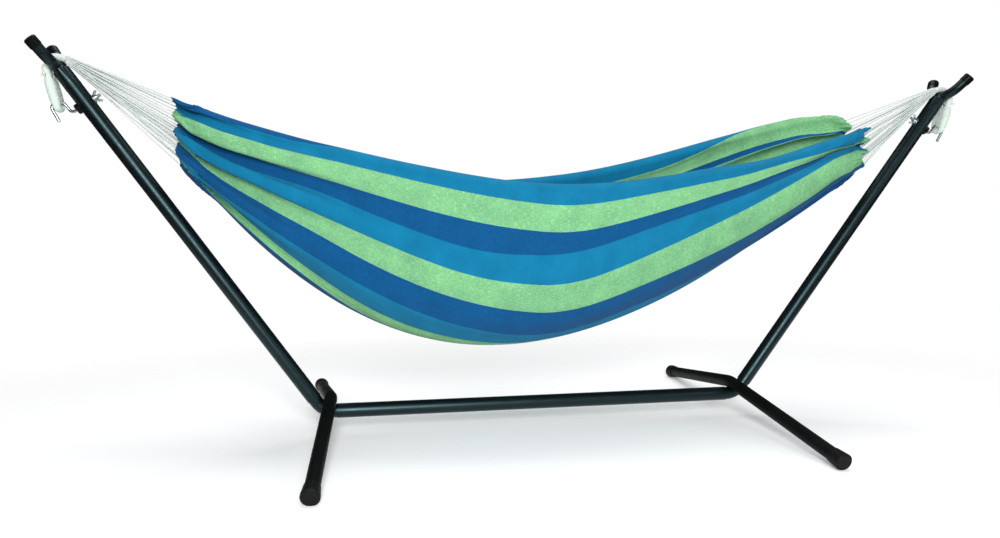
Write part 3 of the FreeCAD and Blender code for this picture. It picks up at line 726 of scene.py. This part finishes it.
def hem_teeth(turn):
    """The hem's scallops: each string pulls one point of it outward."""
    strings = STRING_ROWS * STRING_COLUMNS
    return TOOTH_DEPTH * (np.cos(math.pi * strings * turn) ** 2 - 1)


def cloth_row(share, across):
    """One line of cloth straight across the bed: its points, and their outward directions."""
    points = np.zeros((len(across), 3))
    normals = np.zeros((len(across), 3))
    for face, way in WAYS.items():
        half = across * way >= 0
        points[half], normals[half] = cloth_half_row(share, face, across[half])
    return points, normals


def ripple(across, pitch, phase=0.0):
    """A wave that runs across the cloth."""
    return np.sin(2 * math.pi * across / pitch + phase)


def small_relief(share, across, from_hem, opened):
    """How far the hem's puckers and the open cloth's creases stand off the surface."""
    near_hem = 1 - smooth_step((from_hem - HEM_BAND) / RUFFLE_FADE)
    wander = WANDER * ripple(across, WANDER_PITCH)
    wander += FINE_WANDER * np.sin(from_hem / FINE_WANDER_ALONG + across / FINE_WANDER_ACROSS)
    uneven = UNEVEN_MEAN + UNEVEN_SWING * ripple(across, UNEVEN_PITCH, from_hem / UNEVEN_ALONG)
    puckers = 2 * np.abs(np.sin(math.pi * across / RUFFLE_PITCH + wander / 2)) - 1
    ruffle = uneven * puckers * smooth_step(from_hem / RUFFLE_START + RUFFLE_AT_HEM)
    crease = np.prod([ripple(across, pitch, drift * share) for pitch, drift in CREASES], axis=0)
    return RUFFLE_DEPTH * near_hem * ruffle + CREASE_DEPTH * opened * crease


def hem_relief(down, from_hem, fold):
    """How far the hem's scallops and lobes reach out along the bed."""
    teeth = hem_teeth(1 - down) * (1 - smooth_step(from_hem / TOOTH_REACH))
    return teeth + HEM_LOBE * (0.5 + 0.5 * fold) * (1 - smooth_step(from_hem / LOBE_REACH))


def cloth_half_row(share, face, across):
    """The front or rear half of a line of cloth across the bed."""
    way = WAYS[face]
    from_edge = HALF_WIDTH - np.abs(across)
    from_hem = BED_REACH * (1 - abs(share))
    radius = trough_radius(share)
    quarter = math.pi * radius / 2
    edge = edge_height(share, way) + between(EDGE_LIFTS[face], share)[0]
    stations = between(STATIONS[face], share)
    rolled = max(0.0, -stations[0]) * (edge - keel_height(share))
    curl_radius = max(between(CURL_RADIUS, share)[0], rolled / FULL_CURL)
    wall = edge - keel_height(share) - radius - curl_radius
    down = np.interp(from_edge, stripe_ends(), stations)
    opened = smooth_step(from_hem / OPEN_REACH)
    fading = math.exp(-(from_hem / FOLD_REACH) ** 2)
    depth = min(SOFT_FOLD * opened + FOLD_DEPTH * fading, HEM_PLEAT + FOLD_GROWTH * from_hem)
    right_share = smooth_step(0.5 + share / SIDE_BLEND)
    tension = KEEL_TENSION * (1 - right_share) * smooth_step(from_hem / TENSION_START)
    depth = depth * (1 - tension * np.clip(down, 0, 1) ** 3)
    swell = MUSHROOM * fading * smooth_step(from_hem / MUSHROOM_START)
    # what is rolled over the edge rides on the fold at the crest
    held = np.maximum(from_edge, np.interp(0.0, stations, stripe_ends()))
    left, right = [np.array(pleat_wave(side, face, held, from_hem)) for side in (-1, 1)]
    fold, slide = left + (right - left) * right_share
    reach = (1 - down) * (quarter + wall) + swell * slide * smooth_step(held / MUSHROOM_EDGE)
    angle = np.clip(reach, 0, quarter) / radius
    climb = np.clip(reach - quarter, 0, wall)
    bend = np.clip(reach - quarter - wall, 0, None) / curl_radius
    lean = LEAN * opened * (climb / wall) ** 2
    # both edges roll away from the front: the near one into the bed, the far one out of it
    y = way * (radius * np.sin(angle) - lean) + curl_radius * (1 - np.cos(bend))
    z = keel_height(share) + radius * (1 - np.cos(angle)) + climb + curl_radius * np.sin(bend)
    heading = angle - way * bend
    normals = np.stack([0 * across, way * np.sin(heading), -np.cos(heading)], axis=1)
    outward = np.stack([0 * across, way * np.sin(angle), -np.cos(angle)], axis=1)
    x = share * BED_REACH + math.copysign(1, share) * hem_relief(down, from_hem, fold)
    points = np.stack([x, y, z], axis=1) + outward * (depth * fold)[:, None]
    return points + normals * small_relief(share, across, from_hem, opened)[:, None], normals


def add_cloth(name, shares, lift, material):
    """A sheet of the bed's cloth with its UV map in metres of the cut cloth."""
    across = np.linspace(-HALF_WIDTH, HALF_WIDTH, COLUMNS)
    rows = []
    for share in shares:
        points, normals = cloth_row(share, across)
        rows.append(points + normals * lift)
    points = np.array(rows).reshape(-1, 3)
    faces = grid_faces(len(shares), COLUMNS)
    piece = add_mesh(name, points, faces, "hammock", "striped_cloth", material)
    along = np.array(shares) * CUT_LENGTH / 2
    layer = piece.data.uv_layers.new(name="cloth")
    corners = np.zeros(len(piece.data.loops), dtype=int)
    piece.data.loops.foreach_get("vertex_index", corners)
    flat = np.stack([across[corners % COLUMNS], along[corners // COLUMNS]], axis=1)
    layer.data.foreach_set("uv", flat.ravel())
    thick = piece.modifiers.new("thickness", "SOLIDIFY")
    thick.thickness = CLOTH_THICKNESS
    thick.offset = 0
    return piece


def stitch_line(points, normals, lift):
    """Thread stitches laid along a line on the cloth."""
    along = distances(points)
    shapes = []
    for place in np.arange(STITCH_STEP / 2, along[-1] - STITCH_STEP / 2, STITCH_STEP):
        ends = [Vector([np.interp(place + shift, along, points[:, axis]) for axis in range(3)])
                for shift in (-STITCH / 2, STITCH / 2)]
        normal = Vector([np.interp(place, along, normals[:, axis]) for axis in range(3)])
        way = (ends[1] - ends[0]).normalized()
        middle = (ends[0] + ends[1]) / 2 + normal * lift
        shapes.append(spindle(middle, way, way.cross(normal).normalized(), STITCH, THREAD))
    return shapes


def make_hem_stitches(side_name, side):
    """Two rows of stitches through a hem band."""
    across = np.linspace(-HALF_WIDTH, HALF_WIDTH, COLUMNS)
    shapes = []
    for from_hem in HEM_SEAMS:
        points, normals = cloth_row(side * (1 - from_hem / BED_REACH), across)
        shapes += stitch_line(points, normals, HEM_SEAM_LIFT)
    return add_mesh(f"hem_stitches_{side_name}", *joined(shapes), "hammock", "striped_cloth", THREAD_FINISH)


def make_edge_stitches(face, way):
    """One row of stitches along a long edge."""
    across = np.array([way * (HALF_WIDTH - EDGE_SEAM)])
    places = []
    normals = []
    for share in np.linspace(-EDGE_SEAM_END, EDGE_SEAM_END, ROWS):
        point, normal = cloth_row(share, across)
        places.append(point[0])
        normals.append(normal[0])
    shapes = stitch_line(np.array(places), np.array(normals), CLOTH_THICKNESS / 2)
    return add_mesh(f"edge_stitches_{face}", *joined(shapes), "hammock", "striped_cloth", THREAD_FINISH)


def make_bed():
    """The bed's sheet, with its hem bands and stitches."""
    shares = list(np.linspace(-1, 1, ROWS))
    bed = add_cloth("hammock_cloth", shares, 0.0, FINISHES["striped_cloth"])
    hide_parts("hammock_bed")
    band_material = striped_cloth("hem_cloth", HEM_BAND_SHIFT)
    inner = 1 - HEM_BAND / BED_REACH
    for side_name, side in SIDES.items():
        shares = [side * share for share in np.linspace(inner, 1.0, HEM_BAND_ROWS)]
        add_cloth(f"hem_band_{side_name}", shares, HEM_BAND_LIFT, band_material)
        make_hem_stitches(side_name, side)
    for face, way in WAYS.items():
        make_edge_stitches(face, way)


# ---------------------------------------------------------------- ropes


def arm_place(side, along, out=0.0):
    """A point of an arm's own plane, by its distance up the arm and out from its axis."""
    x = CORNER_REACH + along * math.cos(ARM_ANGLE) + out * math.sin(ARM_ANGLE)
    z = BEAM_HEIGHT + along * math.sin(ARM_ANGLE) - out * math.cos(ARM_ANGLE)
    return Vector((side * x, 0, z))


def neck_pivot(side):
    """The free end of the neck, the way it points, and the wrap's radius."""
    radius = FORK_RADIUS + NECK_ROPE / 2 + NECK_GAP
    toward = Vector((-side * math.cos(NECK_ENTRY), 0, -math.sin(NECK_ENTRY)))
    outward = Vector((-side * math.sin(NECK_ENTRY), 0, math.cos(NECK_ENTRY)))
    touch = arm_place(side, FORK_SEAT) + outward * radius
    return touch + toward * NECK_LEAD, toward, radius


def make_neck(side_name, side):
    """The bundled strings over the fork's middle and down to the loop."""
    tip, _, radius = neck_pivot(side)
    seat = arm_place(side, FORK_SEAT)
    corner_radius = radius / math.cos(NECK_WRAP / 4)

    def over_fork(angle, distance):
        return seat + Vector((side * math.sin(angle), 0, math.cos(angle))) * distance

    route = [
        tip,
        over_fork(-NECK_ENTRY + NECK_WRAP / 4, corner_radius),
        over_fork(-NECK_ENTRY + 3 * NECK_WRAP / 4, corner_radius),
        over_fork(-NECK_ENTRY + NECK_WRAP, radius),
    ]
    line = even_line(smooth_line(route), step=0.0015)
    bundle = laid(plies=11, lay=0.35, depth=0.10)
    neck = rope(f"neck_{side_name}", line, NECK_ROPE, bundle, around=66, body="stand", slot="string_cotton")
    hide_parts(f"rope_neck_{side_name}")
    return neck


def string_cell(index, count):
    """Column and row of a string at the neck: front strings in front, low strings low."""
    column = index * STRING_COLUMNS // count
    place = index - column * STRING_ROWS
    from_middle = index - (count - 1) / 2
    if column == 0:
        row = STRING_ROWS - 1 - place
    elif column == STRING_COLUMNS - 1:
        row = place
    else:
        row = 2 * abs(from_middle) - (1 if from_middle > 0 else 0)
    return column - (STRING_COLUMNS - 1) / 2, row - (STRING_ROWS - 1) / 2


def string_line(side, index, count, beside):
    """Where a string runs: the second strand of each pair ends half a step further round the hem."""
    tip, toward, _ = neck_pivot(side)
    upward = Vector((0, side, 0)).cross(toward)
    column, row = string_cell(index, count)
    aside = TWIN_SHARE * beside
    start = tip + toward * STRING_GAP + Vector((0, (column + aside) * STRING_PITCH, 0))
    start += upward * ((row + aside) * STRING_PITCH)
    y, z = hem_section(side, -1 + 2 * (index + 0.5 + beside / 2) / count)
    end = Vector((side * (BED_REACH + STRING_GAP), y, keel_height(1.0) + HEM_RADIUS + z))
    return even_line(np.array([tuple(start), tuple(end)]), step=0.0016)


def hem_knot(end, toward):
    """A small knot that locks a string behind the hem."""
    way = Vector(toward).normalized()
    across = way.orthogonal().normalized()
    beside = way.cross(across)
    route = []
    for step in range(KNOT_POINTS):
        turn = 2 * math.pi * step / KNOT_POINTS_PER_TURN
        route.append(Vector(end) + (across * math.cos(turn) + beside * math.sin(turn)) * KNOT_SIZE / 2
                     + way * KNOT_SIZE * (step / (KNOT_POINTS - 1) - 0.5))
    line = np.array([tuple(p) for p in route])
    return rope_shape(line, KNOT_SIZE, laid(plies=2, lay=0.006, depth=0.3), around=8)


def make_strings(side_name, side):
    """The fan of twisted strings from the neck to the hem, in pairs, with a knot behind the hem on each."""
    count = STRING_ROWS * STRING_COLUMNS
    twist = laid(plies=2, lay=0.011, depth=0.09)
    for index in range(count):
        line = string_line(side, index, count, 0)
        name = f"string_{side_name}_{index + 1:02d}"
        string = rope(name, line, STRING, twist, around=10, body="hammock", slot="string_cotton")
        twin_line = string_line(side, index, count, 1)
        twin = rope(f"{name}_twin", twin_line, STRING, twist, around=10, body="hammock", slot="string_cotton")
        knots = [hem_knot(run[-1], run[-1] - run[0]) for run in (line, twin_line)]
        knot = add_mesh(f"{name}_knots", *joined(knots), "hammock", "string_cotton")
        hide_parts(f"clew_strings_{side_name}")


def make_whipping(side_name, low, rise, length):
    """Thin cord wound round both legs of a loop, in close turns."""
    rings = WHIPPING_TURNS * 6
    around = 48
    radius = LOOP_ROPE / 2 + WHIPPING_THICKNESS
    across = rise.cross(Vector((0, 1, 0))).normalized()
    points = []
    for ring in range(rings + 1):
        share = ring / rings
        swell = 1 + WHIPPING_BULGE * math.sin(math.pi * share) - WHIPPING_TAPER * (2 * share - 1) ** 8
        for column in range(around):
            turn = 2 * math.pi * column / around
            cords = abs(math.sin(math.pi * (share * WHIPPING_TURNS + column / around)))
            out = radius * swell * (1 - WHIPPING_GROOVE * (1 - cords))
            lobe = math.copysign(LOOP_HALF_GAP, math.sin(turn)) * min(1, 3 * abs(math.sin(turn)))
            middle = low + rise * (share * length) + Vector((0, lobe * swell, 0))
            points.append(middle + Vector((0, math.sin(turn), 0)) * out + across * (math.cos(turn) * out))
    faces = grid_faces(rings + 1, around, closed=True)
    for ring, far in ((0, False), (rings, True)):
        cap = [ring * around + column for column in range(around)]
        faces.append(tuple(cap if far else cap[::-1]))
    return add_mesh(f"loop_whipping_{side_name}", points, faces, "stand", "rope_cotton")


def make_tuft(side_name, side, base):
    """The cut ends of the strings, left loose above the whipping."""
    chance = np.random.default_rng(TUFT_SEED)
    shapes = []
    for _ in range(TUFT_ENDS):
        turn = chance.uniform(0, 2 * math.pi)
        lean = Vector((math.cos(turn) * 0.6 + side * 0.4, math.sin(turn), 0))
        height = chance.uniform(*TUFT_HEIGHTS)
        spread = chance.uniform(*TUFT_SPREADS)
        start = base + Vector((0, math.sin(turn) * TUFT_HALF_WIDTH, 0)) + lean * TUFT_OUT
        route = [start, start + UP * height * 0.7 + lean * 0.002, start + UP * height + lean * spread * 0.6,
                 start + UP * height * chance.uniform(0.2, 0.9) + lean * spread]
        line = even_line(smooth_line([tuple(p) for p in route]), step=0.0012)
        shapes.append(rope_shape(line, TUFT_CORD, laid(plies=2, lay=0.009, depth=0.3), around=8))
    return add_mesh(f"loop_ends_{side_name}", *joined(shapes), "stand", "rope_cotton")


def make_loop(side_name, side, neck):
    """The whipped rope loop that the hook carries: down one leg, round the bight and up the other."""
    bight = arm_place(side, *LOOP_CREST)
    rise = Vector((side * math.sin(LOOP_LEAN), 0, math.cos(LOOP_LEAN)))
    front = Vector((0, -LOOP_HALF_GAP, 0))
    rear = Vector((0, LOOP_HALF_GAP, 0))
    low = bight + rise * LOOP_HALF_GAP
    high = low + rise * LOOP_LENGTH
    top = high + rise * LOOP_HALF_GAP
    gap_start = Vector((0, -LOOP_END_GAP, 0))
    gap_end = Vector((0, LOOP_END_GAP, 0))
    route = [
        top + gap_start, top + front, high + front, low + front, bight + front,
        bight + rear, low + rear, high + rear, top + rear, top + gap_end,
    ]
    line = even_line(smooth_line(route), step=0.0012)
    wound = whipped(pitch=0.0042, depth=0.10)
    loop = rope(f"loop_{side_name}", line, LOOP_ROPE, wound, around=28, body="stand", slot="rope_cotton")
    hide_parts(f"end_loop_{side_name}")
    whipping = make_whipping(side_name, low - rise * WHIPPING_START, rise, LOOP_LENGTH * WHIPPING_SHARE)
    tuft = make_tuft(side_name, side, low + rise * LOOP_LENGTH * TUFT_START)


# ---------------------------------------------------------------- stage

CAMERA_PLACE = (-0.6196, -2.2339, 0.7304)
CAMERA_YAW = 0.1819
CAMERA_PITCH = -0.1781
CAMERA_ROLL = 0.006
CAMERA_LENS = 26.37
CAMERA_SENSOR = 36
CAMERA_SHIFT = (0.0224, 0.060)

# the floor's half width, and the distance over which it fades, shorter across the stand than along it
FLOOR_REACH = 6.0
FLOOR_COLOR = (0.92, 0.925, 0.93)
FLOOR_GLOW = 0.16
FLOOR_FADE = (1.4, 2.6)
FLOOR_FADE_STRETCH = (1.0, 1.6, 1.0)

# the surroundings' strength: on the pieces, in reflections, and as the camera sees it
WORLD_LIGHT = 0.27
REFLECTED_WORLD = 0.06
SEEN_WORLD = 1.0

LIGHT_TARGET = (0, 0, 0.6)
# place, size and power of each light
LIGHTS = {
    "key": ((-0.7, -3.9, 1.8), (1.0, 1.8), 185),
    "fill": ((3.2, -2.6, 1.9), (2.4, 2.0), 24),
    "top": ((0.2, 0.6, 4.0), (4.0, 2.0), 90),
}


def make_camera():
    camera_data = bpy.data.cameras.new("camera")
    camera_data.lens = CAMERA_LENS
    camera_data.sensor_width = CAMERA_SENSOR
    camera_data.shift_x, camera_data.shift_y = CAMERA_SHIFT
    camera = bpy.data.objects.new("camera", camera_data)
    turn = Matrix.Rotation(-CAMERA_YAW, 4, "Z") @ Matrix.Rotation(math.pi / 2 + CAMERA_PITCH, 4, "X")
    camera.matrix_world = Matrix.Translation(CAMERA_PLACE) @ turn @ Matrix.Rotation(CAMERA_ROLL, 4, "Z")
    bpy.context.scene.collection.objects.link(camera)
    bpy.context.scene.camera = camera


def add_light(name, place, size, power):
    light_data = bpy.data.lights.new(name, "AREA")
    light_data.shape = "RECTANGLE"
    light_data.size, light_data.size_y = size
    light_data.energy = power
    light = bpy.data.objects.new(name, light_data)
    light.location = place
    light.rotation_euler = (Vector(LIGHT_TARGET) - Vector(place)).to_track_quat("-Z", "Y").to_euler()
    bpy.context.scene.collection.objects.link(light)


def make_floor():
    """A pale floor that fades into the pale surroundings away from the stand."""
    corners = [(x * FLOOR_REACH, y * FLOOR_REACH, 0) for x, y in ((-1, -1), (1, -1), (1, 1), (-1, 1))]
    mesh = bpy.data.meshes.new("studio_floor")
    mesh.from_pydata(corners, [], [(0, 1, 2, 3)])
    floor = bpy.data.objects.new("studio_floor", mesh)
    bpy.context.scene.collection.objects.link(floor)
    finish = Finish("studio_floor", FLOOR_COLOR, 0.8, Specular_IOR_Level=0.1, Emission_Strength=FLOOR_GLOW)
    from_middle = finish.node("ShaderNodeVectorMath", operation="LENGTH")
    finish.join(finish.place(FLOOR_FADE_STRETCH), from_middle.inputs["Vector"])
    fade = finish.spread(from_middle.outputs["Value"], FLOOR_FADE)
    clear = finish.node("ShaderNodeBsdfTransparent")
    mixed = finish.node("ShaderNodeMixShader")
    for source, socket in zip((fade, finish.shader.outputs["BSDF"], clear.outputs["BSDF"]), mixed.inputs):
        finish.join(source, socket)
    finish.join(mixed.outputs["Shader"], finish.nodes["Material Output"].inputs["Surface"])
    mesh.materials.append(finish.material)


def make_world():
    """White surroundings to look at, which light the scene softly and reflect only dimly."""
    world = bpy.data.worlds.new("studio")
    world.use_nodes = True
    nodes = world.node_tree.nodes
    links = world.node_tree.links
    rays = nodes.new("ShaderNodeLightPath")
    strength = None
    for ray, light in (("Is Glossy Ray", REFLECTED_WORLD), ("Is Camera Ray", SEEN_WORLD)):
        chosen = nodes.new("ShaderNodeMix")
        chosen.inputs["A"].default_value = WORLD_LIGHT
        chosen.inputs["B"].default_value = light
        links.new(rays.outputs[ray], chosen.inputs["Factor"])
        if strength:
            links.new(strength, chosen.inputs["A"])
        strength = chosen.outputs["Result"]
    links.new(strength, nodes["Background"].inputs["Strength"])
    nodes["Background"].inputs["Color"].default_value = (1.0, 1.0, 1.0, 1)
    bpy.context.scene.world = world


def make_stage():
    make_floor()
    make_world()
    bpy.context.scene.view_settings.view_transform = "Standard"
    for name, (place, size, power) in LIGHTS.items():
        add_light(name, place, size, power)


# ---------------------------------------------------------------- assembly

make_camera()
finish_cad_nodes()
for side_name, side in SIDES.items():
    make_fork_collar(side_name, side)
    make_loop(side_name, side, make_neck(side_name, side))
    make_strings(side_name, side)
make_bed()
make_stage()
